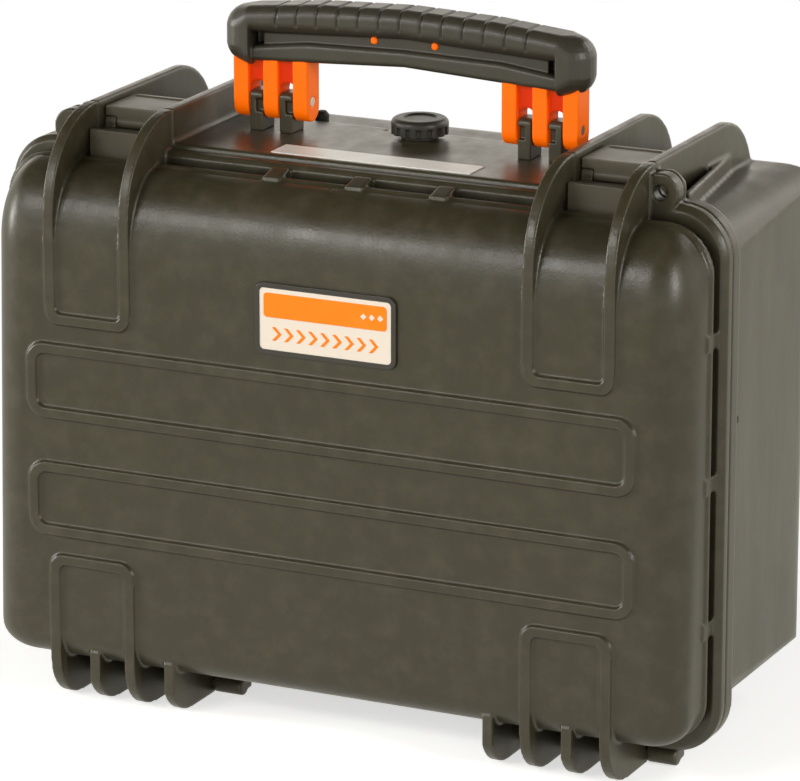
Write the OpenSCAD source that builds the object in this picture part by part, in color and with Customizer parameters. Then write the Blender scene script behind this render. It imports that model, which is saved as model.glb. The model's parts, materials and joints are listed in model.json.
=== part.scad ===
// Hard tool case with a hinged lid, two claw latches, a folding handle and an air valve.
// Units are millimetres. X runs to the right, Y to the rear, Z up. The feet stand on Z = 0.

/* [Case] */
// Outer width over the rim
case_w = 410; // [396:1:430]
// Outer depth from the front beads to the rear wall
case_d = 205; // [200:1:230]
// Height of the rim, from its lowest to its highest edge
rim_h = 290; // [276:1:310]
// Depth of the lid, from the front beads to the parting face
lid_d = 51; // [49:0.5:56]
// Wall thickness of both shells
wall_t = 4; // [3:0.5:5]
// Corner radius of the rim
rim_r = 27; // [24:1:30]
// Gap between lid and base at the parting face
part_gap = 0.4; // [0.3:0.1:0.8]

/* [Beads and fins] */
// Height of the beads above the front wall
bead_h = 2; // [1.5:0.1:2.5]
// Width of a bead at the wall
bead_w = 5.6; // [4.5:0.1:6.5]
// Thickness of the fins beside the latches and of the feet
fin_t = 6; // [5:0.1:6.5]
// Height of the fins above the rim
fin_rise = 19; // [18:0.5:22]
// Radius of the fins' front sweep
fin_r = 50; // [46:1:52]

/* [Hinge] */
// Radius of the hinge barrel
barrel_r = 5; // [4.5:0.1:5]
// Radius of the hinge pins
hinge_pin_r = 2.4; // [2:0.1:2.6]
// Radial clearance of a pin in the part that turns on it
run_gap = 0.06; // [0.05:0.01:0.09]

/* [Latches] */
// Distance of each latch from the side of the rim
latch_in = 67.75; // [65:0.25:71]
// Width of the bay between two fins
bay_w = 38.5; // [37:0.5:40]
// Side gap between a latch and its fins
bay_gap = 1; // [0.6:0.1:1.4]
// Radius of the claw's pivot pin
claw_pin_r = 2; // [1.6:0.1:2.2]
// Radius of the lever's pivot pin
lever_pin_r = 1.5; // [1.2:0.1:1.7]

/* [Handle] */
// Distance of each handle leg from the fin beside it
leg_gap = 12.5; // [10.5:0.5:14]
// Width of a leg
leg_w = 43.4; // [42:0.2:44]
// Depth of a leg
leg_d = 15; // [14:0.5:16]
// Height of the pivot above the rim
pivot_rise = 17.5; // [17:0.5:19]
// Height of the grip's ends above the pivot
grip_rise = 50.5; // [49:0.5:54]
// Depth of the grip
grip_d = 26; // [24:0.5:28]
// Radius of the handle's pins
handle_pin_r = 2.5; // [2.2:0.1:3]

/* [Valve and badge] */
// Radius of the valve knob
knob_r = 15.3; // [14.5:0.1:15.8]
// Width of the badge
badge_w = 80.2; // [70:0.1:84]
// Height of the badge
badge_h = 38; // [32:0.5:40]

/* [Hidden] */
// Level of the rim's lowest edge above the floor
rim_z0 = 2 * barrel_r + 0.5;
rim_z1 = rim_z0 + rim_h;
y_front = -case_d / 2;
y_wall = y_front + bead_h;
y_part = y_front + lid_d;
y_rear = case_d / 2;
// How far the rim stands out beyond the body's sides
rim_out = 5;
body_w2 = case_w / 2 - rim_out;
// Front of the lid's rim and rear of the base's flange
rim_front = 8.5;
flange_back = 10.5;
y_rim = y_part - rim_front;
y_flange = y_part + flange_back;
rim_edge = 3;
body_up = 12.5;
lid_down = 8;
base_down = 8.5;
body_z0 = rim_z0 + body_up;
lid_z1 = rim_z1 - lid_down;
base_z1 = rim_z1 - base_down;
latch_x = case_w / 2 - latch_in;
// Corner radii of the lid's body, seen from the front
lid_rt = 26;
lid_rb = 22;
// Radii of the edges round the lid's front wall
front_rx = 22;
front_ry = 30;
front_rz = 42;
front_rb = 15;
// Depth at which the lid's body ends in a ridge and the channel in front of the rim starts
chan_front = 18.5;
chan_y = y_part - chan_front;
chan_floor = 3;
// Ribs that bridge the channel
rib_t = 10;
rib_front = 21.5;
rib_drop = [2, 6, 10.5];
rib_x0 = 4;
rib_pitch = 47.5;
top_rib_x = [rib_x0 - rib_pitch, rib_x0, rib_x0 + rib_pitch];
side_rib_z = [67.25, 144.25, 219.25];
side_rib_h = 8.5;
side_rib_out = 1.2;
ring_t = 3.6;
ring_rise = 1.4;
// Step of the rim's top edge in front of the deck
rim_step = 1.8;
rim_bevel = 2.5;
// Taper and rear rounding of the base
rear_in = 6;
rear_r = 34;
rear_rz = 24;
// Deck between the inner fins
deck_rise = 0.5;
deck_edge_r = 2.2;
deck_back = 82;
deck_t = 4;
deck_z = rim_z1 + deck_rise;
deck_x = latch_x - bay_w / 2 - fin_t;
deck_y1 = y_part + deck_back;
// Fins
fin_off = bay_w / 2 + fin_t / 2;
fin_x = [latch_x - fin_off, latch_x + fin_off];
fin_z = rim_z1 + fin_rise;
fin_flat = 93;
fin_flat_y = y_part + fin_flat;
lobe_r = 40;
// Heights of the latch frame and the hinge frame above the rim's lowest edge
frame_up = 202.2;
hinge_frame_up = 69.8;
frame_z = rim_z0 + frame_up;
hinge_frame_z = rim_z0 + hinge_frame_up;
frame_side = 14;
bead_r = 8;
long_out = 12;
long_z = [[150.4, 185.8], [85.5, 120.4]];
fin_z0 = frame_z + bead_r;
// Kerb from the flange to the outer fin: places beside the latch's middle and depths
kerb_x = [35, 38.5, 25, 22.5];
kerb_y = [13, 104];
kerb_rise = 1.5;
// Feet
foot_r = 24;
foot_pitch = fin_off;
rear_foot = [10, 104];
rear_foot_y0 = y_part + rear_foot[0];
rear_foot_y1 = y_part + rear_foot[1];
rear_foot_slope = 14;
foot_in = 3;
foot_z1 = body_z0 + foot_in;
// Hinge
hinge_y = y_part;
hinge_z = barrel_r + 0.5;
knuckle_gap = 0.33;
leaf_d = 8.5;
turn_r = barrel_r + 0.4;
barrel_end = 20.5;
barrel_x0 = latch_x - 2 * foot_pitch - barrel_end;
barrel_x1 = latch_x + foot_pitch + barrel_end;
pin_in = 2;
turn_gap = 0.4;
// Seal and the tongue that presses it
seal_in = 3.4;
groove_w = 4.4;
groove_d = 4.6;
seal_low = 1.5;
seal_h = 3;
tongue_w = 2.6;
tongue_h = 1.3;
// Padlock eyelets
eye_out = 30.95;
eye_rise = 5.5;
eye_x = latch_x + eye_out;
eye_z = rim_z1 + eye_rise;
eye_r = 4;
eye_tab_r = 10;
eye_back = 4;
// Claw and lever
claw_back = 33;
claw_rise = 3.5;
claw_y = y_part + claw_back;
claw_z = rim_z1 + claw_rise;
claw_r = 4;
claw_pin_end = fin_t / 2 - pin_in;
lever_pin_in = 1.5;
claw_w2 = bay_w / 2 - bay_gap;
claw_under = deck_z;
claw_t = 4;
lip_gap = 0.4;
lip_t = 2.4;
lip_drop = 10.5;
claw_ridge = [4, 1.8];
lever_back = 9;
lever_rise = 6.8;
lever_y = y_part + lever_back;
lever_z = rim_z1 + lever_rise;
lever_r = 3.2;
lug_in = 12;
lever_plate_z = 3.5;
lever_t = 5.2;
lever_len = 32;
lever_nose = 2.8;
ridge_r = 1.4;
ridge_in = 4;
ridge_back = 7;
// Handle
pivot_back = 53.5;
pivot_y = y_part + pivot_back;
pivot_z = rim_z1 + pivot_rise;
leg_x = deck_x - leg_gap - leg_w / 2;
slot_w = 8.9;
prong_w = (leg_w - 2 * slot_w) / 3;
prong_low = 10.8;
web_rise = 5.4;
leg_rise = 28.5;
web_z = pivot_z + web_rise;
web_in = 3.5;
leg_top = pivot_z + leg_rise;
hlug_x = [leg_x - (prong_w + slot_w) / 2, leg_x + (prong_w + slot_w) / 2];
hlug_w = 7.4;
hlug_front = 7;
hlug_back = 7.5;
hlug_y0 = pivot_y - hlug_front;
hlug_y1 = pivot_y + hlug_back;
hlug_top = 4.5;
hlug_r = 3;
// Pocket in the front of a lug
pocket_w = 4;
pocket_d = 2.5;
pocket_z = [-6.7, 0.5];
grip_over = 5.8;
grip_w2 = leg_x + leg_w / 2 + grip_over;
grip_top = pivot_z + grip_rise;
grip_arch = 5.5;
// Places along X and radii of the slices that shape the grip
end_r = 12;
end_in = 16.8;
grip_end = grip_w2 - end_r;
end_x = grip_w2 - end_in;
mid_in = 38.5;
grip_mid = end_x - mid_in;
bar_r = 7;
bar_t = [15.4, 14.2];
mid_drop = 1.75;
end_rise = 18.5;
end_z = pivot_z + end_rise;
low_d2 = 9;
low_r = 3;
low_z = [25.2, 24.4, 20.4];
low_t = [9, 8.6, 8.2];
web_front = 6;
web_back = 6;
web_end = 6.5;
web_x = end_x - web_end;
core_rise = [27, 29.5];
core_z0 = pivot_z + core_rise[0];
core_z1 = pivot_z + core_rise[1];
core_d2 = 4;
stud_x = 17.5;
stud_down = 12.7;
stud_z = grip_top - stud_down;
stud_r = 2;
stud_rib = 1.5;
stud_out = 0.6;
groove_n = 13;
groove_in = 16.5;
groove_pitch = 2 * (end_x - groove_in) / (groove_n - 1);
groove_w2 = 0.8;
groove_cut = 1;
// Rest pads
bumper_back = 89;
bumper_in = 9.2;
bumper_rise = 4.2;
bumper_y = y_part + bumper_back;
bumper_x = leg_x - bumper_in;
bumper_r = 3.8;
bumper_cone = 2;
bumper_taper = 1.5;
bumper_top = rim_z1 + bumper_rise;
// Valve
valve_back = 66.7;
valve_y = y_part + valve_back;
valve_r = 6;
valve_duct_r = 2;
valve_seat = 0.4;
valve_low = 10;
valve_flange_r = 10;
valve_flange_t = 2.2;
neck_r = 5;
oring_r = 8;
oring_t = 0.8;
nut_r = 10;
nut_t = 5.5;
knob_rise = 3;
knob_z0 = deck_z + knob_rise;
knob_t = 8.7;
knob_edge = 3;
dish_r = 9;
dish_d = 0.8;
bore_d = 6;
neck_gap = 0.3;
notch_n = 16;
notch_r = 1.5;
notch_h = 4.6;
// Mark in the deck beside the valve
mark_x = -25.2;
mark_w = 2.6;
mark_l = 8;
mark_d = 1.2;
// Label and badge
label_x = 57.4;
label_back = [5.5, 23.7];
label_y0 = y_part + label_back[0];
label_y1 = y_part + label_back[1];
label_sink = 0.6;
label_t = 0.9;
label_gap = 0.2;
badge_x = 1.5;
badge_up = 217.2;
badge_z = rim_z0 + badge_up;
badge_sink = 0.8;
badge_t = 2;
badge_edge = 2.6;
badge_r = 5;
plate_t = 0.8;
plate_in = 1;
stripe_in = 2.5;
stripe_low = 1;
stripe_t = 0.3;
stripe_r = 2;

dark = [0.22, 0.21, 0.18];
grip_dark = [0.16, 0.155, 0.14];
orange = [1.0, 0.42, 0.0];
steel = [0.72, 0.72, 0.7];
rubber_black = [0.08, 0.08, 0.08];
pale = [0.9, 0.88, 0.84];

// Extrudes an outline drawn in X and Z along Y
module along_y(y0, y1) {
  translate([0, y1, 0]) rotate([90, 0, 0]) linear_extrude(y1 - y0) children();
}

// Extrudes an outline drawn in Y and Z along X
module along_x(x0, x1) {
  translate([x0, 0, 0]) rotate([90, 0, 90]) linear_extrude(x1 - x0) children();
}

// A round bar along X
module bar_x(x0, x1, y, z, r) {
  translate([x0, y, z]) rotate([0, 90, 0]) cylinder(h = x1 - x0, r = r, $fn = 64);
}

// A round bar along Y
module bar_y(y0, y1, x, z, r) {
  translate([x, y1, z]) rotate([90, 0, 0]) cylinder(h = y1 - y0, r = r, $fn = 64);
}

// A rounded rectangle in X and Z, w2 to each side of the middle
module panel(w2, z0, z1, rt, rb) {
  translate([-w2 + rt, z0 + rb]) square([2 * w2 - 2 * rt, z1 - z0 - rb]);
  translate([-w2 + rb, z0]) square([2 * w2 - 2 * rb, rb + 1]);
  translate([-w2, z0 + rb]) square([2 * w2, z1 - z0 - rt - rb]);
  for (s = [-1, 1]) {
    translate([s * (w2 - rt), z1 - rt]) circle(r = rt, $fn = 96);
    translate([s * (w2 - rb), z0 + rb]) circle(r = rb, $fn = 96);
  }
}

// A ring between two rounded rectangles
module ring(w2, z0, z1, r, t) {
  difference() {
    panel(w2, z0, z1, r, r);
    panel(w2 - t, z0 + t, z1 - t, r - t, r - t);
  }
}

// Both sides of the case
module both() {
  for (s = [-1, 1]) scale([s, 1, 1]) children();
}

// The lid's body, smaller by the given thickness
module lid_block(t, y1) {
  rx = front_rx - t;
  xc = body_w2 - front_rx;
  intersection() {
    hull() {
      along_y(y1 - 1, y1)
        panel(body_w2 - t, body_z0 + t, lid_z1 - t, lid_rt - t, lid_rb - t);
      for (s = [-1, 1]) {
        translate([s * xc, y_wall + front_ry, lid_z1 - front_rz])
          scale([rx, front_ry - t, front_rz - t]) sphere(r = 1, $fn = 44);
        translate([s * xc, y_wall + front_rb, body_z0 + front_rb])
          scale([rx, front_rb - t, front_rb - t]) sphere(r = 1, $fn = 44);
      }
    }
    translate([-case_w / 2, y_front, 0]) cube([case_w, y1 - y_front, rim_z1]);
  }
}

// The base's body, smaller by the given thickness
module base_block(t, y0) {
  r = rear_r - t;
  rz = rear_rz - t;
  yc = y_rear - rear_r;
  slope = atan(rear_in / (y_rear - y_part));
  xc = body_w2 - t - (yc - y_part) * tan(slope) - r / cos(slope);
  x0 = body_w2 - t - (y0 - y_part) * tan(slope);
  xt = xc + r * cos(slope);
  yt = yc + r * sin(slope);
  intersection() {
    along_y(y0, y_rear) panel(body_w2 - t, body_z0 + t, base_z1 - t, rim_r - t, rim_r - t);
    // plan with tapered sides and rounded rear corners
    linear_extrude(rim_z1) {
      polygon([[-x0, y0], [x0, y0], [xt, yt], [xc, yc], [xc, yc + r], [-xc, yc + r], [-xc, yc], [-xt, yt]]);
      for (s = [-1, 1]) translate([s * xc, yc]) circle(r = r, $fn = 96);
    }
    // side outline with rounded rear edges
    along_x(-case_w / 2, case_w / 2) {
      zl = body_z0 + rear_rz;
      zh = base_z1 - rear_rz;
      translate([y0 - 1, body_z0 + t]) square([y_rear - rear_rz - y0 + 1, base_z1 - body_z0 - 2 * t]);
      translate([y0 - 1, zl]) square([y_rear - t - y0 + 1, zh - zl]);
      for (z = [zl, zh]) translate([y_rear - rear_rz, z]) circle(r = rz, $fn = 96);
    }
  }
}

// Side outline of the upper fin on the lid, with the bead that runs down the front wall
module lid_fin_side() {
  translate([y_front + fin_r, fin_z - fin_r]) circle(r = fin_r, $fn = 128);
  translate([y_front, fin_z0]) square([bead_h + 8, fin_z - fin_r - fin_z0]);
}

// Side outline of the fin on the base
module base_fin_side() {
  y0 = y_part + part_gap / 2;
  translate([y0, base_z1 - 10]) square([fin_flat_y - y0, fin_z - base_z1 + 10]);
  translate([fin_flat_y, fin_z - lobe_r]) circle(r = lobe_r, $fn = 128);
}

// Side outline of a foot on the lid, with its bead on the front wall up to z1
module lid_foot_side(y0, z1) {
  translate([y_front + foot_r, foot_r]) circle(r = foot_r, $fn = 96);
  y1 = hinge_y - part_gap / 2;
  translate([y_front + foot_r, 0]) square([y1 - y_front - foot_r, foot_z1 + 4]);
  translate([y_front + y0, foot_r]) square([foot_r - y0, z1 - foot_r]);
}

// X range of the feet on one side, from the outermost inwards
function foot_a(i) = latch_x + (1 - i) * foot_pitch - fin_t / 2;
function foot_b(i) = foot_a(i) + fin_t;

// Side outline of the ribs that bridge the channel on top
module top_rib_side() {
  ya = y_part - rib_front;
  yb = y_rim + rib_drop[0];
  z0 = rim_z1 - rib_drop[2];
  polygon([[ya, z0], [ya, rim_z1 - rib_drop[1]], [yb, rim_z1 - rib_drop[0]], [yb, z0]]);
}

// Outline of the rim, smaller by the given amount
module rim_outline(e) {
  panel(case_w / 2 - e, rim_z0 + e, rim_z1 - e, rim_r - e, rim_r - e);
}

// Path of the seal, smaller by e and t wide
module seal_ring(e, t) {
  i = seal_in + e;
  ring(case_w / 2 - i, rim_z0 + i + seal_low, rim_z1 - i, rim_r - i, t);
}

// Bead frame of the latch or hinge: a bar with two rounded corners, open on one side
module frame_bead(z, up) {
  w2 = fin_off + bead_w / 2;
  h = frame_side;
  tall = 4 * frame_side;
  zl = z - bead_w / 2;
  zh = z + bead_w / 2;
  lo = up ? 0 : tall;
  hi = up ? tall : 0;
  translate([latch_x, 0, 0]) along_y(y_front, y_wall + 1) difference() {
    intersection() {
      translate([-w2, up ? zl : zh - h]) square([2 * w2, h]);
      panel(w2, zl - lo, zh + hi, bead_r, bead_r);
    }
    panel(w2 - bead_w, zh - lo, zl + hi, bead_r / 2, bead_r / 2);
  }
}

// Long bead frame on the front wall
module long_bead(z0, z1) {
  w2 = latch_x + fin_off + bead_w / 2 + long_out;
  h = bead_w / 2;
  along_y(y_front, y_wall + 1) ring(w2, z0 - h, z1 + h, bead_r + h, bead_w);
}

// Eyelet tab on the rim between two depths
module eye_tab(y0, y1) {
  bar_y(y0, y1, eye_x, eye_z, eye_tab_r);
}

module lid_shell() {
  y1 = y_part - part_gap / 2;
  wi = body_w2 - chan_floor - wall_t;
  color(dark) difference() {
    union() {
      lid_block(0, chan_y + 1);
      // skirt from the channel to the rim
      along_y(chan_y, y1) panel(
        body_w2 - chan_floor, body_z0 + chan_floor, lid_z1 - chan_floor, lid_rt, lid_rb);
      // ridge at the rear edge of the body
      along_y(chan_y, chan_y + ring_t)
        panel(body_w2 + ring_rise, body_z0 - ring_rise, lid_z1 + ring_rise, lid_rt, lid_rb);
      // rim with its rounded front edge
      hull() {
        along_y(y_rim, y1) rim_outline(rim_edge);
        along_y(y_rim + rim_edge, y1) rim_outline(0);
      }
      // ribs that bridge the channel on top and at the sides
      for (x = top_rib_x) along_x(x - rib_t / 2, x + rib_t / 2) top_rib_side();
      both() for (z = side_rib_z) translate([body_w2 - 8, y_part - rib_front, rim_z0 + z])
        cube([8 + side_rib_out, rib_front - rim_front + 1.5, side_rib_h]);
      // fins beside the latches
      both() for (x = fin_x) intersection() {
        along_x(x - fin_t / 2, x + fin_t / 2) lid_fin_side();
        translate([0, y_front, fin_z0]) cube([case_w, y1 - y_front, fin_z - fin_z0]);
      }
      both() frame_bead(frame_z, true);
      both() frame_bead(hinge_frame_z, false);
      // long frames
      for (z = long_z) long_bead(rim_z0 + z[0], rim_z0 + z[1]);
      // feet, the outer and the inner one of the hinge frame with beads that run up the front wall
      both() for (i = [0, 2]) intersection() {
        along_x(foot_a(i), foot_b(i)) lid_foot_side(0, hinge_frame_z - bead_r);
        translate([0, y_front, 0]) cube([case_w, y1 - y_front, hinge_frame_z]);
      }
      both() for (i = [1, 3]) intersection() {
        along_x(foot_a(i), foot_b(i)) lid_foot_side(bead_h + 1, foot_z1 + 4);
        translate([0, y_wall + 0.5, 0]) cube([case_w, y1 - y_wall - 0.5, foot_z1 + 4]);
      }
      both() for (i = [0:3]) bar_x(foot_a(i), foot_b(i), hinge_y, hinge_z, barrel_r);
      both() eye_tab(y_rim, y1);
    }
    // lowered and bevelled top of the rim in front of the deck
    along_x(-deck_x, deck_x) polygon([
      [y_rim - 1, rim_z1 - rim_step - rim_bevel - 1], [y_rim - 1, rim_z1 + 1], [y_part, rim_z1 + 1],
      [y_part, rim_z1 - rim_step], [y_rim + rim_bevel, rim_z1 - rim_step],
      [y_rim, rim_z1 - rim_step - rim_bevel], [y_rim, rim_z1 - rim_step - rim_bevel - 1]]);
    lid_block(wall_t, chan_y + 1);
    along_y(chan_y, y_part)
      panel(wi, body_z0 + chan_floor + wall_t, lid_z1 - chan_floor - wall_t, lid_rt, lid_rb);
    // seal groove
    along_y(y1 - groove_d, y_part) seal_ring(0, groove_w);
    // room for the base's knuckles
    both() for (i = [0:4])
      bar_x(knuckle_a(i) - knuckle_gap, knuckle_b(i) + knuckle_gap, hinge_y, hinge_z, turn_r);
    both() bar_x(barrel_x0, barrel_x1, hinge_y, hinge_z, hinge_pin_r + run_gap);
    both() bar_y(y_front, y_part, eye_x, eye_z, eye_r);
    // pocket for the badge
    along_y(y_wall - 1, y_wall + badge_sink) badge_outline(0);
  }
}

// X range of the base's knuckles, from the outermost inwards
function knuckle_b(i) = i == 0 ? barrel_x1 : foot_a(i - 1) - knuckle_gap;
function knuckle_a(i) = i == 4 ? barrel_x0 : foot_b(i) + knuckle_gap;

// Side outline of a foot on the base
module rear_foot_side() {
  ya = rear_foot_y0;
  yb = rear_foot_y1;
  polygon([[ya, 2], [ya + 2, 0], [yb - rear_foot_slope, 0], [yb, foot_z1], [ya, foot_z1]]);
}

module base_shell() {
  y0 = y_part + part_gap / 2;
  color(dark) difference() {
    union() {
      base_block(0, y0);
      // flange
      along_y(y0, y_flange) rim_outline(0);
      // tongue that presses the seal
      along_y(y_part - tongue_h, y0 + 1) seal_ring((groove_w - tongue_w) / 2, tongue_w);
      // deck
      translate([-deck_x, y0, base_z1 - 10])
        cube([2 * deck_x, deck_y1 - y0, deck_z - base_z1 + 10]);
      // fins
      both() for (x = fin_x) along_x(x - fin_t / 2, x + fin_t / 2) base_fin_side();
      // curved kerb from the flange to the outer fin
      both() translate([latch_x, y_part, base_z1 - 12]) linear_extrude(12 + base_down + kerb_rise)
        polygon([for (i = [0:3]) [kerb_x[i], kerb_y[i < 2 ? 0 : 1]]]);
      both() eye_tab(y0, y0 + eye_back);
      // valve seat
      translate([0, valve_y, deck_z - 1])
        cylinder(h = 1 + valve_seat, r = valve_flange_r + 1.5, $fn = 96);
      // hinge knuckles
      both() for (i = [0:4]) {
        bar_x(knuckle_a(i), knuckle_b(i), hinge_y, hinge_z, barrel_r);
        translate([knuckle_a(i), y0, hinge_z - 3])
          cube([knuckle_b(i) - knuckle_a(i), leaf_d, rim_z0 + 1 - hinge_z + 3]);
      }
      // rear feet
      both() for (i = [0:3]) along_x(foot_a(i), foot_b(i)) rear_foot_side();
    }
    base_block(wall_t, y_part - tongue_h - 1);
    translate([-deck_x + wall_t, y_flange, base_z1 - 20])
      cube([2 * (deck_x - wall_t), deck_y1 - wall_t - y_flange, deck_z - deck_t - base_z1 + 20]);
    // room for the lid's knuckles
    both() for (i = [0:3])
      bar_x(foot_a(i) - knuckle_gap, foot_b(i) + knuckle_gap, hinge_y, hinge_z, turn_r);
    both() bar_x(barrel_x0 + pin_in, barrel_x1 - pin_in, hinge_y, hinge_z, hinge_pin_r);
    both() bar_y(y_part - tongue_h, y_flange, eye_x, eye_z, eye_r);
    // rounded front edge of the deck
    along_x(-deck_x, deck_x) difference() {
      translate([y_part - 1, deck_z - deck_edge_r]) square([y0 - y_part + 1 + deck_edge_r, 2 * deck_edge_r]);
      translate([y0 + deck_edge_r, deck_z - deck_edge_r]) circle(r = deck_edge_r, $fn = 64);
    }
    // bores of the claw pins
    both() bar_x(fin_x[0] - claw_pin_end, fin_x[1] + claw_pin_end, claw_y, claw_z, claw_pin_r);
    // mark beside the valve
    translate([mark_x, deck_y1 - mark_l, deck_z - mark_d]) cube([mark_w, mark_l + 1, 2 * mark_d]);
    // valve hole
    translate([0, valve_y, deck_z - deck_t - 1]) cylinder(h = deck_t + 6, r = valve_r, $fn = 64);
    // label pocket
    translate([-label_x, label_y0, deck_z - label_sink])
      cube([2 * label_x, label_y1 - label_y0, 2]);
  }
}

module rim_seal() {
  y1 = y_part - part_gap / 2;
  color(rubber_black) along_y(y1 - groove_d, y1 - groove_d + seal_h) seal_ring(0, groove_w);
}

module hinge_pin() {
  color(steel) bar_x(barrel_x0 + pin_in, barrel_x1 - pin_in, hinge_y, hinge_z, hinge_pin_r);
}

module hinge_pin_left() scale([-1, 1, 1]) hinge_pin();

module hinge_pin_right() hinge_pin();

// Claw: a plate over the rim, its lip in front of the rim and its pivot barrel behind
module latch_claw() {
  lip_y1 = y_rim - lip_gap;
  color(dark) translate([latch_x, 0, 0]) difference() {
    union() {
      along_x(-claw_w2, claw_w2) {
        translate([lip_y1 - lip_t, claw_under]) square([claw_y - lip_y1 + lip_t, claw_t]);
        translate([lip_y1 - lip_t, rim_z1 - lip_drop]) square([lip_t, lip_drop + claw_t]);
        translate([claw_y, claw_z]) circle(r = claw_r, $fn = 64);
        // ridge along the front of the plate
        translate([lip_y1 - lip_t, claw_under]) square([claw_ridge[0], claw_t + claw_ridge[1]]);
      }
      // lugs that hold the lever's pin
      for (s = [-1, 1]) along_x(s > 0 ? lug_in : -claw_w2, s > 0 ? claw_w2 : -lug_in) {
        translate([lever_y, lever_z]) circle(r = lever_r, $fn = 64);
        translate([lever_y - lever_r, claw_under]) square([2 * lever_r, lever_z - claw_under]);
      }
    }
    bar_x(-claw_w2, claw_w2, claw_y, claw_z, claw_pin_r + run_gap);
    bar_x(lever_pin_in - claw_w2, claw_w2 - lever_pin_in, lever_y, lever_z, lever_pin_r);
    // room for the lever's knuckle
    translate([-lug_in, lever_y - 5, lever_z - lever_r - turn_gap])
      cube([2 * lug_in, 10, lever_r]);
  }
}

module latch_claw_left() scale([-1, 1, 1]) latch_claw();

module latch_claw_right() latch_claw();

// Lever: a finger plate over the claw's lugs, on a knuckle between them
module latch_lever() {
  kn = lug_in - bay_gap / 2;
  z0 = lever_z + lever_plate_z;
  color(dark) translate([latch_x, 0, 0]) difference() {
    union() {
      along_x(-claw_w2, claw_w2) {
        translate([lever_y - lever_nose, z0])
          square([lever_len + lever_nose - lever_t / 2, lever_t]);
        translate([lever_y + lever_len - lever_t / 2, z0 + lever_t / 2])
          circle(r = lever_t / 2, $fn = 48);
      }
      along_x(-kn, kn) {
        translate([lever_y - lever_nose, lever_z]) square([lever_nose + lever_r, z0 + 1 - lever_z]);
        translate([lever_y, lever_z]) circle(r = lever_r, $fn = 64);
      }
      // finger ridge
      along_x(ridge_in - claw_w2, claw_w2 - ridge_in)
        translate([lever_y + lever_len - ridge_back, z0 + lever_t - ridge_r / 2])
          circle(r = ridge_r, $fn = 32);
    }
    bar_x(-claw_w2, claw_w2, lever_y, lever_z, lever_pin_r + run_gap);
  }
}

module latch_lever_left() scale([-1, 1, 1]) latch_lever();

module latch_lever_right() latch_lever();

module claw_pin() {
  color(steel)
    bar_x(fin_x[0] - claw_pin_end, fin_x[1] + claw_pin_end, claw_y, claw_z, claw_pin_r);
}

module claw_pin_left() scale([-1, 1, 1]) claw_pin();

module claw_pin_right() claw_pin();

module lever_pin() {
  w2 = claw_w2 - lever_pin_in;
  color(steel) bar_x(latch_x - w2, latch_x + w2, lever_y, lever_z, lever_pin_r);
}

module lever_pin_left() scale([-1, 1, 1]) lever_pin();

module lever_pin_right() lever_pin();

// Lugs that hold the handle's pins, each with a pocket in its front
module handle_lugs() {
  z1 = pivot_z + hlug_top;
  color(dark) both() for (x = hlug_x) difference() {
    along_x(x - hlug_w / 2, x + hlug_w / 2) {
      translate([hlug_y0, deck_z]) square([hlug_y1 - hlug_y0, z1 - hlug_r - deck_z]);
      translate([hlug_y0 + hlug_r, deck_z]) square([hlug_y1 - hlug_y0 - 2 * hlug_r, z1 - deck_z]);
      for (y = [hlug_y0 + hlug_r, hlug_y1 - hlug_r])
        translate([y, z1 - hlug_r]) circle(r = hlug_r, $fn = 64);
    }
    bar_x(x - hlug_w, x + hlug_w, pivot_y, pivot_z, handle_pin_r);
    translate([x - hlug_w / 2 - 1, hlug_y0 - 1, pivot_z + pocket_z[0]])
      cube([pocket_w + 1, pocket_d + 1, pocket_z[1] - pocket_z[0]]);
  }
}

// One leg of the handle: three prongs joined by a set-back web with arched lower edges
module leg_solid() {
  r = leg_d / 2;
  zc = pivot_z - prong_low + r;
  for (i = [-1, 0, 1]) translate([leg_x + i * (prong_w + slot_w), 0, 0])
    along_x(-prong_w / 2, prong_w / 2) {
      translate([pivot_y, zc]) circle(r = r, $fn = 64);
      translate([pivot_y - r, zc]) square([2 * r, leg_top - zc]);
    }
  difference() {
    translate([leg_x - leg_w / 2 + 1, pivot_y - r + web_in, web_z])
      cube([leg_w - 2, leg_d - web_in, leg_top - web_z]);
    for (x = hlug_x) bar_y(pivot_y - leg_d, pivot_y + leg_d, x, web_z, slot_w / 2);
  }
}

module core_solid() {
  both() leg_solid();
  translate([-leg_x, pivot_y - core_d2, core_z0])
    cube([2 * leg_x, 2 * core_d2, core_z1 - core_z0]);
  // two studs that reach the front of the grip's web
  both() translate([stud_x, 0, 0]) {
    translate([-stud_rib, pivot_y - stud_rib, core_z0])
      cube([2 * stud_rib, 2 * stud_rib, stud_z - core_z0]);
    bar_y(pivot_y - web_front - stud_out, pivot_y, 0, stud_z, stud_r);
  }
}

module handle_core() {
  color(orange) difference() {
    core_solid();
    both() translate([leg_x, 0, 0])
      bar_x(-leg_w / 2 - 1, leg_w / 2 + 1, pivot_y, pivot_z, handle_pin_r + run_gap);
  }
}

// Rounded slab of the grip at one place along X
module grip_slice(x, z0, z1, d2, r) {
  for (y = [-1, 1], z = [z0 + r, z1 - r])
    translate([x, pivot_y + y * (d2 - r), z]) sphere(r = r, $fn = 24);
}

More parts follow.
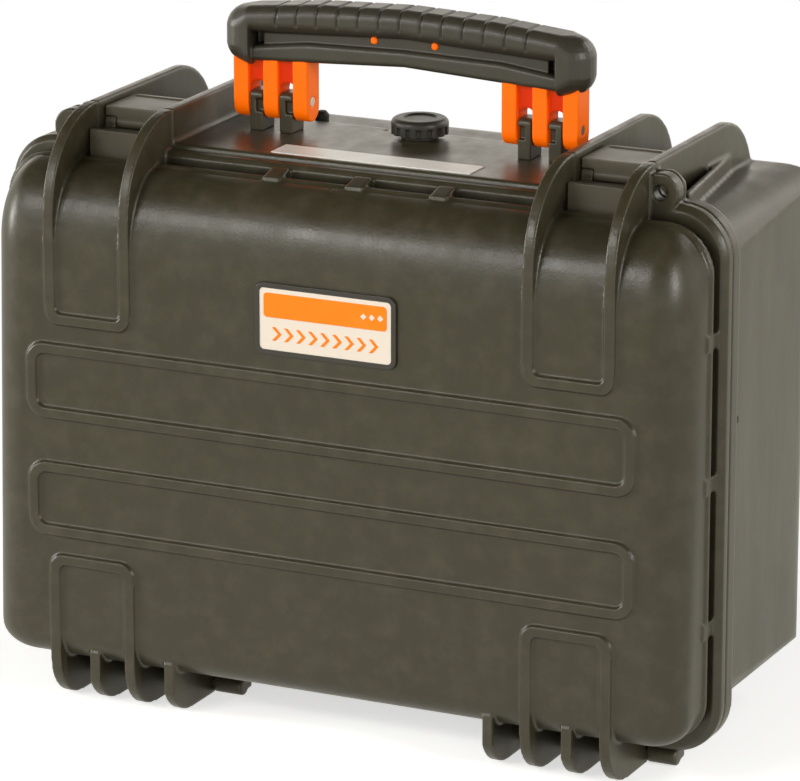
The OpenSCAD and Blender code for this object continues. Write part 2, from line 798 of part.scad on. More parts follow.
module handle_grip() {
  d2 = grip_d / 2;
  top0 = grip_top + grip_arch;
  topm = top0 - mid_drop;
  low1 = pivot_z + low_z[1];
  low2 = pivot_z + low_z[2];
  color(grip_dark) difference() {
    union() {
      // arched upper bar
      both() hull() {
        grip_slice(0, top0 - bar_t[0], top0, d2, bar_r);
        grip_slice(grip_mid, topm - bar_t[0], topm, d2, bar_r);
        grip_slice(end_x, grip_top - bar_t[1], grip_top, d2, bar_r);
      }
      // round ends
      both() intersection() {
        hull() {
          grip_slice(end_x, end_z, grip_top, d2, bar_r);
          grip_slice(grip_end, end_z, grip_top - 0.5, d2, end_r);
        }
        translate([end_x, pivot_y - grip_d, pivot_z]) cube([3 * end_r, 2 * grip_d, 2 * grip_rise]);
      }
      // lower bar
      both() hull() {
        grip_slice(0, pivot_z + low_z[0], pivot_z + low_z[0] + low_t[0], low_d2, low_r);
        grip_slice(leg_x - leg_w / 2, low1, low1 + low_t[1], low_d2, low_r);
        grip_slice(grip_end - 2, low2, low2 + low_t[2], low_d2, low_r);
      }
      // web between the bars, with a thinner end
      both() along_y(pivot_y - web_front, pivot_y + web_back) web_outline(web_x);
      both() along_y(pivot_y, pivot_y + web_back) web_outline(end_x + 2);
    }
    core_solid();
    // finger grooves
    for (i = [0:groove_n - 1]) grip_groove((i - (groove_n - 1) / 2) * groove_pitch);
  }
}

// Outline of the grip's web up to a place along X
module web_outline(x) {
  z0 = pivot_z + low_z[0] + 2;
  polygon([[0, z0], [x, z0], [x, grip_top - bar_r], [0, grip_top + grip_arch - bar_r]]);
}

// One groove round the upper bar, cut down to a smaller rounded outline
module grip_groove(x) {
  ax = abs(x);
  slope1 = mid_drop / grip_mid;
  slope2 = (grip_arch - mid_drop) / (end_x - grip_mid);
  drop = ax < grip_mid ? ax * slope1 : mid_drop + (ax - grip_mid) * slope2;
  r = bar_r - groove_cut;
  w2 = grip_d / 2 - groove_cut;
  z1 = grip_top + grip_arch - drop - groove_cut;
  z0 = z1 - bar_t[0];
  along_x(x - groove_w2, x + groove_w2) difference() {
    translate([pivot_y - grip_d, z0 + 2]) square([2 * grip_d, 2 * bar_t[0]]);
    translate([pivot_y - w2, z0]) square([2 * w2, z1 - z0 - r]);
    translate([pivot_y - w2 + r, z0]) square([2 * (w2 - r), z1 - z0]);
    for (s = [-1, 1]) translate([pivot_y + s * (w2 - r), z1 - r]) circle(r = r, $fn = 48);
  }
}

module handle_pin() {
  w2 = leg_w / 2 - 0.4;
  color(steel) bar_x(leg_x - w2, leg_x + w2, pivot_y, pivot_z, handle_pin_r);
}

module handle_pin_left() scale([-1, 1, 1]) handle_pin();

module handle_pin_right() handle_pin();

// Rest pads behind the legs
module handle_bumpers() {
  h = bumper_top - bumper_cone - base_z1;
  color(rubber_black) both() translate([bumper_x, bumper_y, base_z1]) {
    cylinder(h = h, r = bumper_r, $fn = 48);
    translate([0, 0, h])
      cylinder(h = bumper_cone, r1 = bumper_r, r2 = bumper_r - bumper_taper, $fn = 48);
  }
}

module valve_body() {
  zf = deck_z + valve_seat;
  zl = deck_z - deck_t - valve_low;
  color(dark) difference() {
    union() {
      translate([0, valve_y, zf]) cylinder(h = valve_flange_t, r = valve_flange_r, $fn = 96);
      translate([0, valve_y, zl]) cylinder(h = zf + 1 - zl, r = valve_r, $fn = 64);
      translate([0, valve_y, zf + 1])
        cylinder(h = knob_z0 + bore_d - neck_gap - zf - 1, r = neck_r, $fn = 64);
    }
    translate([0, valve_y, zf - 0.01]) difference() {
      cylinder(h = 2 * oring_t + 0.01, r = oring_r + oring_t + 0.3, $fn = 96);
      translate([0, 0, -1]) cylinder(h = 2 * oring_t + 2, r = oring_r - oring_t - 0.3, $fn = 96);
    }
    translate([0, valve_y, zl - 1]) cylinder(h = valve_low + deck_t, r = valve_duct_r, $fn = 48);
  }
}

// Knob with a rounded top edge and a notched skirt
module valve_knob() {
  color(grip_dark) translate([0, valve_y, knob_z0]) difference() {
    rotate_extrude($fn = 96) {
      square([knob_r - knob_edge, knob_t]);
      square([knob_r, knob_t - knob_edge]);
      translate([knob_r - knob_edge, knob_t - knob_edge]) intersection() {
        circle(r = knob_edge, $fn = 64);
        square(knob_edge);
      }
    }
    for (i = [0:notch_n - 1]) rotate([0, 0, i * 360 / notch_n])
      translate([knob_r, 0, -1]) cylinder(h = notch_h + 1, r = notch_r, $fn = 32);
    translate([0, 0, -1]) cylinder(h = bore_d + 1, r = neck_r + run_gap, $fn = 64);
    translate([0, 0, knob_t - dish_d]) cylinder(h = 2, r = dish_r, $fn = 96);
  }
}

module valve_seal() {
  color(rubber_black) translate([0, valve_y, deck_z + valve_seat + oring_t])
    rotate_extrude($fn = 96) translate([oring_r, 0]) circle(r = oring_t, $fn = 32);
}

module valve_nut() {
  color(steel) translate([0, valve_y, deck_z - deck_t - nut_t]) difference() {
    cylinder(h = nut_t, r = nut_r, $fn = 6);
    translate([0, 0, -1]) cylinder(h = nut_t + 2, r = valve_r, $fn = 64);
  }
}

module badge_outline(e) {
  h = badge_h / 2 - e;
  translate([badge_x, 0]) panel(badge_w / 2 - e, badge_z - h, badge_z + h, badge_r - e, badge_r - e);
}

module badge_frame() {
  y1 = y_wall + badge_sink;
  color(rubber_black) difference() {
    along_y(y1 - badge_t, y1) badge_outline(0);
    along_y(y1 - badge_t - 1, y1 - plate_in) badge_outline(badge_edge);
  }
}

module badge_plate() {
  y1 = y_wall + badge_sink - plate_in;
  color(pale) along_y(y1 - plate_t, y1) badge_outline(badge_edge);
}

// Raised band across the upper part of the badge
module badge_stripe() {
  y1 = y_wall + badge_sink - plate_in - plate_t;
  i = badge_edge + stripe_in;
  r = stripe_r;
  color(orange) translate([badge_x, 0, 0]) along_y(y1 - stripe_t, y1)
    panel(badge_w / 2 - i, badge_z + stripe_low, badge_z + badge_h / 2 - i, r, r);
}

module label_strip() {
  g = label_gap;
  color(pale) translate([g - label_x, label_y0 + g, deck_z - label_sink])
    cube([2 * (label_x - g), label_y1 - label_y0 - 2 * g, label_t]);
}

base_shell();
lid_shell();
rim_seal();
hinge_pin_left();
hinge_pin_right();
latch_claw_left();
latch_claw_right();
latch_lever_left();
latch_lever_right();
claw_pin_left();
claw_pin_right();
lever_pin_left();
lever_pin_right();
handle_lugs();
handle_core();
handle_grip();
handle_pin_left();
handle_pin_right();
handle_bumpers();
valve_body();
valve_knob();
valve_seal();
valve_nut();
badge_frame();
badge_plate();
badge_stripe();
label_strip();
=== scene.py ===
import json
import math
import bpy
import bmesh
import numpy as np
from mathutils import Vector, Matrix


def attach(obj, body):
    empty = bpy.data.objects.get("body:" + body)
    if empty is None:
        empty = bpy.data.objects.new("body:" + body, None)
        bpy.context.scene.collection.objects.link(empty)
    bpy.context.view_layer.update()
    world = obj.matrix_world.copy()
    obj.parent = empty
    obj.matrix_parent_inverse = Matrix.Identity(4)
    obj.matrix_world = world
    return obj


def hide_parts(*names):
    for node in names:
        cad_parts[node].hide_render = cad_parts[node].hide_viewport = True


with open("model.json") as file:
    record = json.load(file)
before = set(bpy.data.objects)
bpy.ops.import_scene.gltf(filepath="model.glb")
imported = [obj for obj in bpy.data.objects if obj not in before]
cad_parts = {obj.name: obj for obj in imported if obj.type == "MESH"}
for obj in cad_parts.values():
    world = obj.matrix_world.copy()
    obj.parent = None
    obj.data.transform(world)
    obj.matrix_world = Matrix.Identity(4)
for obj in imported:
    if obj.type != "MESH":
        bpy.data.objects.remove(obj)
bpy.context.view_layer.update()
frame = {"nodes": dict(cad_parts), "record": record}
NODES = frame["nodes"]
SC = bpy.context.scene
COL = SC.collection


# ---------------------------------------------------------------- node helpers
class Tree:
    """Short way to write a node tree."""

    def __init__(self, tree):
        self.t = tree

    def n(self, kind, **kw):
        node = self.t.nodes.new(kind)
        ins = kw.pop("ins", {})
        for k, v in kw.items():
            setattr(node, k, v)
        for k, v in ins.items():
            s = node.inputs[k]
            if isinstance(v, bpy.types.NodeSocket):
                self.t.links.new(v, s)
            else:
                s.default_value = v
        return node

    def math(self, op, a, b=0.0, clamp=False):
        m = self.n("ShaderNodeMath", operation=op, use_clamp=clamp)
        for i, v in enumerate((a, b)):
            if isinstance(v, bpy.types.NodeSocket):
                self.t.links.new(v, m.inputs[i])
            else:
                m.inputs[i].default_value = v
        return m.outputs[0]

    def remap(self, v, a, b, c=0.0, d=1.0):
        ins = {"Value": v, "From Min": a, "From Max": b, "To Min": c, "To Max": d}
        return self.n("ShaderNodeMapRange", ins=ins).outputs[0]

    def mix(self, f, a, b):
        m = self.n("ShaderNodeMix", data_type="RGBA")
        for k, v in ((0, f), (6, a), (7, b)):
            if isinstance(v, bpy.types.NodeSocket):
                self.t.links.new(v, m.inputs[k])
            else:
                m.inputs[k].default_value = v if k == 0 else (*v[:3], 1.0)
        return m.outputs[2]

    def noise(self, vec, scale, detail=4.0, rough=0.5):
        ins = {"Vector": vec, "Scale": scale, "Detail": detail, "Roughness": rough}
        return self.n("ShaderNodeTexNoise", ins=ins).outputs[0]

    def object_coords(self):
        return self.n("ShaderNodeTexCoord").outputs["Object"]

    def stretched(self, co, **ins):
        return self.n("ShaderNodeMapping", ins={"Vector": co, **ins}).outputs[0]

    def sum(self, base, value, share):
        """base plus a share of how far value lies from one half."""
        return self.math("ADD", base, self.math("MULTIPLY", self.math("SUBTRACT", value, 0.5), share))


def group(name, inputs, outputs, build):
    """A shader node group: inputs as (name, kind, value), outputs as (name, kind), build draws its nodes."""
    g = bpy.data.node_groups.new(name, "ShaderNodeTree")
    for n, kind, val in inputs:
        s = g.interface.new_socket(name=n, in_out="INPUT", socket_type=kind)
        s.default_value = val
    for n, kind in outputs:
        g.interface.new_socket(name=n, in_out="OUTPUT", socket_type=kind)
    t = Tree(g)
    gi = g.nodes.new("NodeGroupInput")
    go = g.nodes.new("NodeGroupOutput")
    build(t, gi.outputs, lambda k, v: g.links.new(v, go.inputs[k]))
    return g


F, C, V = "NodeSocketFloat", "NodeSocketColor", "NodeSocketVector"
# reach of the painted shade in hollows, in metres
HOLLOW_SHADE_REACH = 0.012
GRAIN_DEPTH, WAVE_DEPTH = 0.0004, 0.002


def _moulded(t, i, out):
    """Moulded plastic: cloudy tone, drawn streaks, fine grain, rubbed edges, and painted shade that darkens
    creases and hollows.
    """
    co = t.object_coords()
    cloud = t.noise(co, 9.0, 3.0, 0.55)
    mottle = t.noise(co, 70.0, 4.0, 0.62)
    streak = t.noise(t.stretched(co, Scale=(95.0, 60.0, 9.0)), 1.0, 4.0, 0.6)
    grain = t.noise(co, i["Grain Scale"], 2.0, 0.6)
    cells = {"Vector": co, "Scale": t.math("MULTIPLY", i["Grain Scale"], 0.62)}
    pebble = t.n("ShaderNodeTexVoronoi", feature="SMOOTH_F1", ins=cells).outputs[0]
    lines = t.stretched(co, Rotation=(0.3, 0.2, 0.5), Scale=(18.0, 160.0, 160.0))
    scratch = t.remap(t.noise(lines, 1.0, 5.0, 0.65), 0.66, 0.74)
    geo = t.n("ShaderNodeNewGeometry")
    bev = t.n("ShaderNodeBevel", samples=6, ins={"Radius": i["Edge"]}).outputs[0]
    dot = t.n("ShaderNodeVectorMath", operation="DOT_PRODUCT", ins={0: bev, 1: geo.outputs["Normal"]})
    edge = t.remap(dot.outputs["Value"], 0.995, 0.9)
    edge = t.math("MULTIPLY", edge, t.remap(t.noise(co, 60.0, 3.0, 0.6), 0.4, 0.62))
    ridge = t.remap(geo.outputs["Pointiness"], 0.505, 0.57)
    # painted shade: concave creases, where pointiness drops, are darkened towards the Shade colour
    crease_shade = t.remap(geo.outputs["Pointiness"], 0.495, 0.44)
    wear = t.math("MULTIPLY", t.math("MAXIMUM", edge, ridge), i["Wear"], True)
    # painted shade: hollows, recesses and gaps between parts are darkened by ambient occlusion towards a darker
    # colour
    ao = t.n("ShaderNodeAmbientOcclusion", samples=4, only_local=True, ins={"Distance": HOLLOW_SHADE_REACH})
    hollow_shade = t.remap(ao.outputs["AO"], 0.75, 0.25)
    col = t.mix(t.math("MULTIPLY", t.remap(cloud, 0.35, 0.65), 0.35), i["Colour"], i["Shade"])
    col = t.mix(t.math("MULTIPLY", t.remap(mottle, 0.45, 0.68), i["Mottle"]), col, i["Worn"])
    col = t.mix(t.math("MULTIPLY", wear, 0.55), col, i["Worn"])
    col = t.mix(t.math("MULTIPLY", scratch, t.math("MULTIPLY", i["Wear"], 0.22)), col, i["Worn"])
    # painted shade in the creases
    col = t.mix(t.math("MULTIPLY", crease_shade, 0.45), col, i["Shade"])
    out("Colour", t.mix(t.math("MULTIPLY", hollow_shade, i["Hollow Shade"]), col, i["Deep Shade"]))
    r = t.sum(t.sum(t.sum(i["Rough"], cloud, 0.16), mottle, 0.16), streak, i["Streak"])
    out("Rough", t.math("SUBTRACT", r, t.math("MULTIPLY", wear, 0.08), True))
    h = t.math("ADD", t.math("MULTIPLY", grain, 0.55), t.math("MULTIPLY", pebble, 0.45))
    fine = {"Strength": i["Bump"], "Distance": GRAIN_DEPTH, "Height": h, "Normal": bev}
    fine = t.n("ShaderNodeBump", ins=fine).outputs[0]
    low = t.math("ADD", t.noise(co, 22.0, 3.0, 0.5), t.math("MULTIPLY", streak, 0.25))
    broad = {"Strength": i["Wave"], "Distance": WAVE_DEPTH, "Height": low, "Normal": fine}
    out("Normal", t.n("ShaderNodeBump", ins=broad).outputs[0])


LOOKS = [("Colour", C), ("Rough", F), ("Normal", V)]
MOULDED = group("moulded_surface", [
    ("Colour", C, (0.1, 0.1, 0.1, 1)), ("Shade", C, (0.05, 0.05, 0.05, 1)), ("Worn", C, (0.2, 0.2, 0.2, 1)),
    ("Rough", F, 0.5), ("Grain Scale", F, 900.0), ("Bump", F, 0.25), ("Edge", F, 0.001),
    ("Wear", F, 0.5), ("Mottle", F, 0.16), ("Streak", F, 0.12), ("Wave", F, 0.10),
    ("Hollow Shade", F, 0.85), ("Deep Shade", C, (0.008, 0.007, 0.004, 1))], LOOKS, _moulded)


def _turned(t, i, out):
    """Turned steel: fine rings along the bar, light tarnish."""
    co = t.object_coords()
    ring = t.noise(t.stretched(co, Scale=(2600.0, 40.0, 40.0)), 1.0, 2.0, 0.5)
    tar = t.noise(co, 120.0, 4.0, 0.6)
    out("Colour", t.mix(t.math("MULTIPLY", t.remap(tar, 0.45, 0.7), 0.5), i["Colour"], (0.30, 0.27, 0.23)))
    out("Rough", t.math("ADD", t.math("MULTIPLY", tar, 0.3), 0.16))
    bump = {"Strength": 0.25, "Distance": 0.0002, "Height": ring}
    out("Normal", t.n("ShaderNodeBump", ins=bump).outputs[0])


TURNED = group("turned_steel", [("Colour", C, (0.6, 0.6, 0.58, 1))], LOOKS, _turned)


SLOT_X = (0.06905, 0.08655)
SLOT_HALF, SLOT_FADE = 0.0042, 0.0049
WEB_Y = (-0.0065, -0.0028)
# painted shade: the deep red that the recessed web of the orange legs is given
WEB_SHADE_RED = (0.62, 0.004, 0.0)


def _web(t, i, out):
    """Picks the thin recessed web between the prongs of the handle's legs, where the orange is painted deep red
    as shade.
    """
    at = t.n("ShaderNodeSeparateXYZ", ins={0: t.object_coords()})
    x = t.math("ABSOLUTE", at.outputs["X"])
    one, two = [t.math("ABSOLUTE", t.math("SUBTRACT", x, mid)) for mid in SLOT_X]
    slot = t.remap(t.math("MINIMUM", one, two), SLOT_FADE, SLOT_HALF)
    out("Mask", t.math("MULTIPLY", slot, t.remap(at.outputs["Y"], *WEB_Y)))


WEB = group("leg_web", [], [("Mask", F)], _web)


def material(name, grp, vals, metallic=0.0, spec=0.5, coat=0.0, glow=None, web=False):
    m = bpy.data.materials.new(name)
    m.use_nodes = True
    t = Tree(m.node_tree)
    p = m.node_tree.nodes["Principled BSDF"]
    p.inputs["Metallic"].default_value = metallic
    p.inputs["Specular IOR Level"].default_value = spec
    p.inputs["Coat Weight"].default_value = coat
    p.inputs["Coat Roughness"].default_value = 0.18
    g = t.n("ShaderNodeGroup", node_tree=grp)
    for k, v in vals.items():
        g.inputs[k].default_value = v if isinstance(v, float) else (*v, 1.0)
    link = m.node_tree.links.new
    for out, into in (("Colour", "Base Color"), ("Rough", "Roughness"), ("Normal", "Normal")):
        link(g.outputs[out], p.inputs[into])
    # painted shade: the recessed web between the leg's prongs is painted deep red
    if web:
        mask = t.n("ShaderNodeGroup", node_tree=WEB).outputs["Mask"]
        link(t.mix(mask, g.outputs["Colour"], WEB_SHADE_RED), p.inputs["Base Color"])
    # painted light: an emission that makes a plain part glow though it is no lamp
    if glow:
        p.inputs["Emission Color"].default_value = (*glow[:3], 1.0)
        p.inputs["Emission Strength"].default_value = glow[3]
    return m


def plastic(name, colour, shade, worn, finish, more=(), **own):
    """finish holds roughness, grain scale, bump, edge width and wear."""
    vals = {"Colour": colour, "Shade": shade, "Worn": worn}
    vals.update(zip(("Rough", "Grain Scale", "Bump", "Edge", "Wear"), finish))
    vals.update(more)
    return material(name, MOULDED, vals, **own)


FLAT = {"Hollow Shade": 0.0, "Wave": 0.02}
M_SHELL = plastic("shell_plastic", (0.046, 0.0395, 0.0205), (0.033, 0.0275, 0.0135), (0.110, 0.098, 0.066),
                  (0.35, 1100.0, 0.22, 0.0008, 0.65), {"Mottle": 0.26, "Streak": 0.2, "Wave": 0.16})
M_LATCH = plastic("latch_plastic", (0.105, 0.092, 0.062), (0.078, 0.068, 0.044), (0.17, 0.155, 0.12),
                  (0.40, 1300.0, 0.2, 0.0006, 0.6))
M_GRIP = plastic("grip_rubber", (0.048, 0.043, 0.030), (0.034, 0.030, 0.021), (0.090, 0.082, 0.063),
                 (0.36, 1600.0, 0.25, 0.0006, 0.4))
M_VALVE = plastic("valve_plastic", (0.030, 0.027, 0.020), (0.02, 0.018, 0.013), (0.08, 0.073, 0.058),
                  (0.42, 1400.0, 0.2, 0.0005, 0.5))
# the orange legs: painted shade turns their hollows deep red, and a faint emission is painted light that makes
# them glow though they are no lamp
M_LEG = plastic("leg_orange", (1.0, 0.17, 0.0), (0.95, 0.10, 0.0), (1.0, 0.24, 0.005),
                (0.42, 1000.0, 0.10, 0.0010, 0.35), {"Mottle": 0.1, "Hollow Shade": 1.0, "Deep Shade": (0.80, 0.008, 0.0)},
                spec=0.22, glow=(1.0, 0.12, 0.0, 0.22), web=True)
M_SEAL = plastic("seal_rubber", (0.022, 0.021, 0.019), (0.014, 0.014, 0.013), (0.06, 0.057, 0.05),
                 (0.6, 1500.0, 0.25, 0.0005, 0.3))
M_LABEL = plastic("label_film", (0.93, 0.92, 0.86), (0.88, 0.87, 0.81), (0.96, 0.95, 0.90),
                  (0.40, 1800.0, 0.05, 0.0003, 0.3), FLAT)
M_BEDGE = plastic("badge_edge", (0.022, 0.018, 0.014), (0.014, 0.012, 0.009), (0.08, 0.072, 0.06),
                  (0.26, 1500.0, 0.06, 0.0006, 0.5), {"Wave": 0.02}, coat=0.3)
M_BCREAM = plastic("badge_cream", (0.97, 0.86, 0.74), (0.92, 0.79, 0.66), (0.98, 0.90, 0.82),
                   (0.34, 1500.0, 0.04, 0.0003, 0.2), FLAT, coat=0.25)
# painted light: a faint emission makes the badge's orange glow though it is no lamp
M_BORANGE = plastic("badge_orange", (1.0, 0.25, 0.0), (0.98, 0.20, 0.0), (1.0, 0.34, 0.04),
                    (0.34, 1500.0, 0.04, 0.0003, 0.2), FLAT, spec=0.3, coat=0.15, glow=(1.0, 0.18, 0.0, 0.12))
M_STEEL = material("pin_steel", TURNED, {"Colour": (0.62, 0.61, 0.58)}, metallic=1.0)
BY_SLOT = {"shell": M_SHELL, "latch": M_LATCH, "seal": M_SEAL, "steel": M_STEEL, "leg": M_LEG, "grip": M_GRIP,
           "valve": M_VALVE, "badge_edge": M_BEDGE, "badge_field": M_BCREAM, "badge_stripe": M_BORANGE,
           "label": M_LABEL}
SLOT_OF = {s["node"]: s["material_slot"] for s in frame["record"]["subparts"]}
BODY_OF = {n: b for b, ns in frame["record"]["behaviour"]["bodies"].items() for n in ns}

for n, o in NODES.items():
    o.data.materials.clear()
    o.data.materials.append(BY_SLOT[SLOT_OF[n]])


# ---------------------------------------------------------------- piece helpers
def settle(ob, name, mat, body, nodes=()):
    """Turns the evaluated object into a plain mesh at the origin and attaches it to its body."""
    dg = bpy.context.evaluated_depsgraph_get()
    dg.update()
    me = bpy.data.meshes.new_from_object(ob.evaluated_get(dg), preserve_all_data_layers=True, depsgraph=dg)
    me.transform(ob.matrix_world)
    new = plain_object(name, me)
    me.name = name
    old = ob.data
    bpy.data.objects.remove(ob)
    if old.users == 0:
        bpy.data.meshes.remove(old)
    me.materials.clear()
    me.materials.append(mat)
    for p in me.polygons:
        p.use_smooth = True
        p.material_index = 0
    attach(new, body)
    if nodes:
        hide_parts(*nodes)
    return new


def tris(me):
    return sum(len(p.vertices) - 2 for p in me.polygons)


def welded(node):
    """A copy of a node's mesh with its doubled points joined."""
    me = NODES[node].data.copy()
    bm = bmesh.new()
    bm.from_mesh(me)
    bmesh.ops.remove_doubles(bm, verts=bm.verts, dist=1e-6)
    bm.to_mesh(me)
    bm.free()
    return plain_object("raw_" + node, me)


def plain_object(name, me):
    ob = bpy.data.objects.new(name, me)
    COL.objects.link(ob)
    return ob


def from_bmesh(name, bm):
    me = bpy.data.meshes.new(name)
    bm.to_mesh(me)
    bm.free()
    return plain_object(name, me)


def evaluated(ob):
    dg = bpy.context.evaluated_depsgraph_get()
    dg.update()
    return dg, ob.evaluated_get(dg)


CURVE_ROUNDS = 60


def moulded(node, voxel, rounds, keep, curve=None):
    """A node's solid remade as one soft moulding: even cells, edges and roots rounded off, then thinned
    to keep triangles. curve picks the points of the large plain curves, which are evened out further."""
    ob = welded(node)
    k = 1.0
    r = ob.modifiers.new("cells", "REMESH")
    r.mode = "VOXEL"
    r.voxel_size = voxel * k
    if curve:
        dg, ev = evaluated(ob)
        me = bpy.data.meshes.new_from_object(ev, depsgraph=dg)
        old = ob.data
        ob.modifiers.clear()
        ob.data = me
        bpy.data.meshes.remove(old)
        co = np.empty(len(me.vertices) * 3, dtype=np.float32)
        me.vertices.foreach_get("co", co)
        pick = np.nonzero(curve(co.reshape(-1, 3)))[0]
        ob.vertex_groups.new(name="curves").add(pick.tolist(), 1.0, "REPLACE")
        e = ob.modifiers.new("even", "SMOOTH")
        e.factor = 0.5
        e.iterations = int(CURVE_ROUNDS / (k * k))
        e.vertex_group = "curves"
    s = ob.modifiers.new("soften", "SMOOTH")
    s.factor = 0.5
    s.iterations = max(1, int(rounds / k))
    count = tris(evaluated(ob)[1].data)
    if count > keep:
        d = ob.modifiers.new("thin", "DECIMATE")
        d.ratio = keep / count
    print("moulded", node, "cells", count)
    return settle(ob, "v_" + node, BY_SLOT[SLOT_OF[node]], BODY_OF[node], [node])


FOOT_X = (0.09275, 0.115, 0.13725, 0.1595)
FIN_X = (0.115, 0.1595)
FIN_CLEAR, FOOT_TOP = 0.0072, 0.09
CURVE_Z, CURVE_X, CURVE_Y = 0.2515, 0.1798, -0.0745
LOW_Z, LOW_Y = 0.0375, -0.088


def lid_curves(c):
    """The lid's plain front curves and corners, clear of its fins, feet, beads and ridge."""
    x, y, z = np.abs(c[:, 0]), c[:, 1], c[:, 2]
    clear = np.ones(len(c), dtype=bool)
    for f in FOOT_X:
        clear &= ~((np.abs(x - f) < FIN_CLEAR) & ((z < FOOT_TOP) | (f in FIN_X)))
    return clear & (((y < CURVE_Y) & ((z > CURVE_Z) | (x > CURVE_X))) | ((z < LOW_Z) & (y < LOW_Y)))


def prism(name, outline, y0, y1):
    """A flat piece with its outline drawn in X and Z, from y0 (front) to y1."""
    n = len(outline)
    verts = [(x, y0, z) for x, z in outline] + [(x, y1, z) for x, z in outline]
    faces = [list(range(n)), list(range(2 * n - 1, n - 1, -1))]
    faces += [[i, i + n, (i + 1) % n + n, (i + 1) % n] for i in range(n)]
    me = bpy.data.meshes.new(name)
    me.from_pydata(verts, [], faces)
    bm = bmesh.new()
    bm.from_mesh(me)
    bmesh.ops.recalc_face_normals(bm, faces=bm.faces)
    bm.to_mesh(me)
    bm.free()
    return plain_object(name, me)


def row_group():
    """Geometry Nodes: copies of the piece along a straight row."""
    g = bpy.data.node_groups.new("row", "GeometryNodeTree")
    sock = {}
    kinds = {"Geometry": "Geometry", "Count": "Int", "Start": "Vector", "Step": "Vector", "Material": "Material"}
    for n, kind in kinds.items():
        s = g.interface.new_socket(name=n, in_out="INPUT", socket_type="NodeSocket" + kind)
        sock[n] = s.identifier
    g.interface.new_socket(name="Geometry", in_out="OUTPUT", socket_type="NodeSocketGeometry")
    gi, go = g.nodes.new("NodeGroupInput"), g.nodes.new("NodeGroupOutput")
    line = g.nodes.new("GeometryNodeMeshLine")
    inst = g.nodes.new("GeometryNodeInstanceOnPoints")
    real = g.nodes.new("GeometryNodeRealizeInstances")
    setm = g.nodes.new("GeometryNodeSetMaterial")
    ln = g.links.new
    ln(gi.outputs["Count"], line.inputs["Count"])
    ln(gi.outputs["Start"], line.inputs["Start Location"])
    ln(gi.outputs["Step"], line.inputs["Offset"])
    ln(line.outputs[0], inst.inputs["Points"])
    ln(gi.outputs["Geometry"], inst.inputs["Instance"])
    ln(inst.outputs[0], real.inputs[0])
    ln(real.outputs[0], setm.inputs["Geometry"])
    ln(gi.outputs["Material"], setm.inputs["Material"])
    ln(setm.outputs[0], go.inputs[0])
    return g, sock


ROW, ROW_IN = row_group()


def row(ob, name, count, start, step, mat, body):
    m = ob.modifiers.new("row", "NODES")
    m.node_group = ROW
    for n, v in (("Count", count), ("Start", start), ("Step", step), ("Material", mat)):
        m[ROW_IN[n]] = v
    new = settle(ob, name, mat, body)
    for p in new.data.polygons:
        p.use_smooth = False
    return new


# ---------------------------------------------------------------- mouldings
# cell size in metres, rounds of smoothing, triangles kept
moulded("lid_shell", 0.0008, 3, 190000, lid_curves)
moulded("base_shell", 0.0011, 3, 190000)
for side in ("left", "right"):
    moulded("latch_claw_" + side, 0.0004, 3, 40000)
    moulded("latch_lever_" + side, 0.0004, 3, 40000)
moulded("handle_lugs", 0.0004, 3, 40000)
moulded("handle_core", 0.0005, 5, 90000)
moulded("handle_grip", 0.0004, 4, 150000)
moulded("valve_knob", 0.0003, 3, 50000)
moulded("valve_body", 0.0004, 2, 30000)
moulded("handle_bumpers", 0.0003, 3, 12000)

# a generic motif on the badge: a row of chevrons on the pale field, small lozenges on the band
TALL, WIDE, THICK = 0.0036, 0.0034, 0.0021
LOZENGE = 0.0017
chevron = [(0, -TALL), (THICK, -TALL), (THICK + WIDE, 0), (THICK, TALL), (0, TALL), (WIDE, 0)]
row(prism("chevron", chevron, -0.10162, -0.1014), "v_badge_chevrons", 9, (-0.02885, 0, 0.2200),
    (0.0069, 0, 0), M_BORANGE, "lid")
lozenge = [(0, -LOZENGE), (LOZENGE, 0), (0, LOZENGE), (-LOZENGE, 0)]
row(prism("lozenge", lozenge, -0.1019, -0.1017), "v_badge_lozenges", 3, (0.0235, 0, 0.23515),
    (0.0048, 0, 0), M_BCREAM, "lid")

# small dark mark on the right side of the base
MARK_AT, MARK_R, MARK_FORM = (0.19905, -0.0265, 0.183), 0.0013, (0.35, 1.0, 1.5, 1.0)
bm = bmesh.new()
bmesh.ops.create_uvsphere(bm, u_segments=24, v_segments=12, radius=MARK_R,
                          matrix=Matrix.Translation(MARK_AT) @ Matrix.Diagonal(MARK_FORM))
settle(from_bmesh("side_mark", bm), "v_side_mark", M_SEAL, "base")


# ---------------------------------------------------------------- stage, light and camera
def area(name, loc, aim, size, size_y, power, colour=(1, 1, 1)):
    li = bpy.data.lights.new(name, "AREA")
    li.shape = "RECTANGLE"
    li.size = size
    li.size_y = size_y
    li.energy = power
    li.color = colour
    ob = plain_object(name, li)
    ob.location = loc
    ob.rotation_euler = (Vector(aim) - Vector(loc)).to_track_quat("-Z", "Y").to_euler()
    return ob


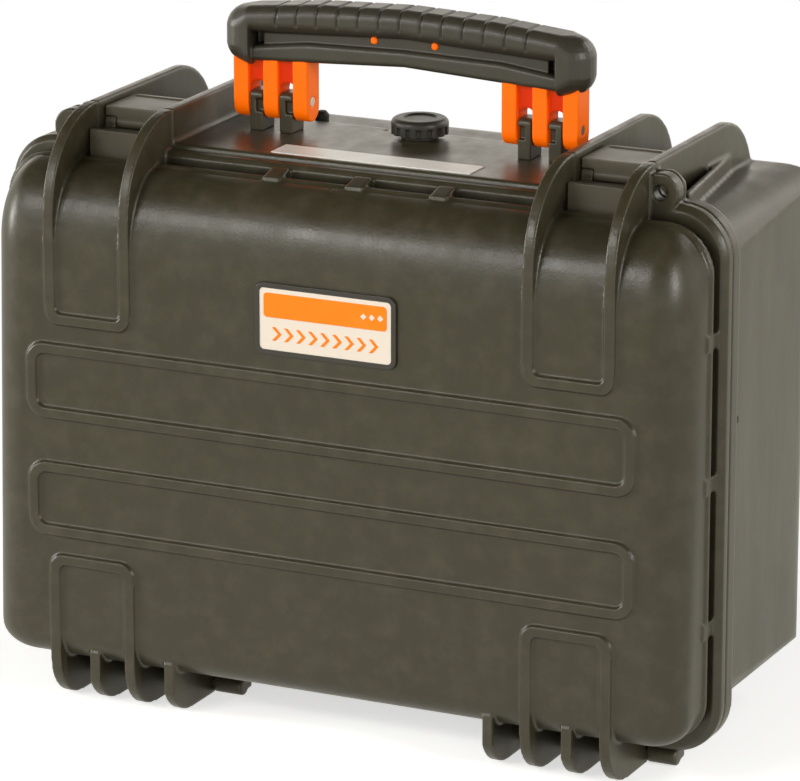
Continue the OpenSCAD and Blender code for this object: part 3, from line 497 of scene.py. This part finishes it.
def floor():
    """A pale floor that keeps the soft shadow near the case and runs out to white further away."""
    me = bpy.data.meshes.new("floor")
    me.from_pydata([(-6, -4, 0), (6, -4, 0), (6, 6, 0), (-6, 6, 0)], [], [(0, 1, 2, 3)])
    ob = plain_object("floor", me)
    m = bpy.data.materials.new("floor_pale")
    m.use_nodes = True
    t = Tree(m.node_tree)
    p = m.node_tree.nodes["Principled BSDF"]
    co = t.object_coords()
    reach = t.n("ShaderNodeVectorMath", operation="LENGTH", ins={0: co}).outputs["Value"]
    far = t.remap(reach, 0.30, 0.75)
    pale = t.mix(t.remap(t.noise(co, 3.0), 0.3, 0.7), (0.86, 0.86, 0.855), (0.88, 0.88, 0.875))
    pale = t.mix(far, pale, (0.0, 0.0, 0.0))
    lp = t.n("ShaderNodeLightPath")
    matt = t.mix(lp.outputs["Is Diffuse Ray"], pale, (0.36, 0.352, 0.32))
    link = m.node_tree.links.new
    link(matt, p.inputs["Base Color"])
    p.inputs["Roughness"].default_value = 0.9
    p.inputs["Specular IOR Level"].default_value = 0.0
    sharp = t.math("MAXIMUM", lp.outputs["Is Glossy Ray"], lp.outputs["Is Transmission Ray"])
    glow = t.mix(lp.outputs["Is Camera Ray"], (0.86, 0.835, 0.72), (1.0, 1.0, 1.0))
    link(glow, p.inputs["Emission Color"])
    seen = t.math("MAXIMUM", lp.outputs["Is Camera Ray"], sharp)
    link(t.math("MULTIPLY", seen, t.remap(far, 0.0, 1.0, 0.62, 1.0)), p.inputs["Emission Strength"])
    me.materials.append(m)


floor()
lights = [
    area("key_front_left", (-1.35, -2.75, 1.95), (0, -0.1, 0.2), 1.3, 0.5, 31.0, (1.0, 0.985, 0.96)),
    area("strip_right", (2.35, -0.75, 1.0), (0.15, -0.08, 0.22), 0.32, 0.7, 21.0, (1.0, 0.985, 0.94)),
    area("low_left", (-2.3, -1.0, 0.55), (-0.1, 0, 0.12), 0.8, 0.8, 30.0, (1.0, 0.99, 0.95)),
    area("rear_high", (1.6, 2.2, 1.9), (0, 0, 0.2), 1.0, 0.8, 16.0, (1.0, 0.99, 0.95)),
]
# the room: dark above and bright low down for reflections, brightest behind the case, white to the camera
world = bpy.data.worlds.new("studio")
world.use_nodes = True
wt = Tree(world.node_tree)
bg = world.node_tree.nodes["Background"]
lp = wt.n("ShaderNodeLightPath")
way = wt.n("ShaderNodeSeparateXYZ", ins={0: wt.n("ShaderNodeTexCoord").outputs["Generated"]})
low = wt.remap(way.outputs["Z"], 0.52, 0.34)
front = wt.math("MULTIPLY", wt.remap(way.outputs["Y"], 0.05, -0.75), wt.remap(way.outputs["Z"], 0.85, 0.3))
back = wt.math("MULTIPLY", low, wt.remap(way.outputs["Y"], 0.2, 0.7))
matt = wt.mix(front, (0.04, 0.04, 0.038), (1.2, 1.17, 1.08))
shine = wt.mix(low, (0.02, 0.02, 0.018), (0.95, 0.94, 0.86))
shine = wt.mix(back, shine, (1.75, 1.66, 1.5))
sharp = wt.math("MAXIMUM", lp.outputs["Is Glossy Ray"], lp.outputs["Is Transmission Ray"])
seen = wt.mix(sharp, matt, shine)
seen = wt.mix(lp.outputs["Is Camera Ray"], seen, (1.0, 1.0, 1.0))
world.node_tree.links.new(seen, bg.inputs["Color"])
bg.inputs["Strength"].default_value = 1.0
SC.world = world

# the photograph's camera: angles, distance and aim in metres, focal length in pixels of its width
AZ, EL, DIST = math.radians(25.516), math.radians(16.113), 2.57708
TARGET = Vector((0.0445, -0.1025, 0.19893))
FOCAL_PX, PHOTO_W, SENSOR = 5063.9, 800.0, 36.0
cam = bpy.data.cameras.new("photo_camera")
cam.sensor_fit = "HORIZONTAL"
cam.sensor_width = SENSOR
cam.lens = FOCAL_PX * SENSOR / PHOTO_W
cam.clip_end = 50.0
camo = plain_object("photo_camera", cam)
away = Vector((math.sin(AZ) * math.cos(EL), -math.cos(AZ) * math.cos(EL), math.sin(EL)))
camo.location = TARGET + DIST * away
camo.rotation_euler = (TARGET - camo.location).to_track_quat("-Z", "Y").to_euler()
SC.camera = camo
SC.view_settings.view_transform = "Standard"
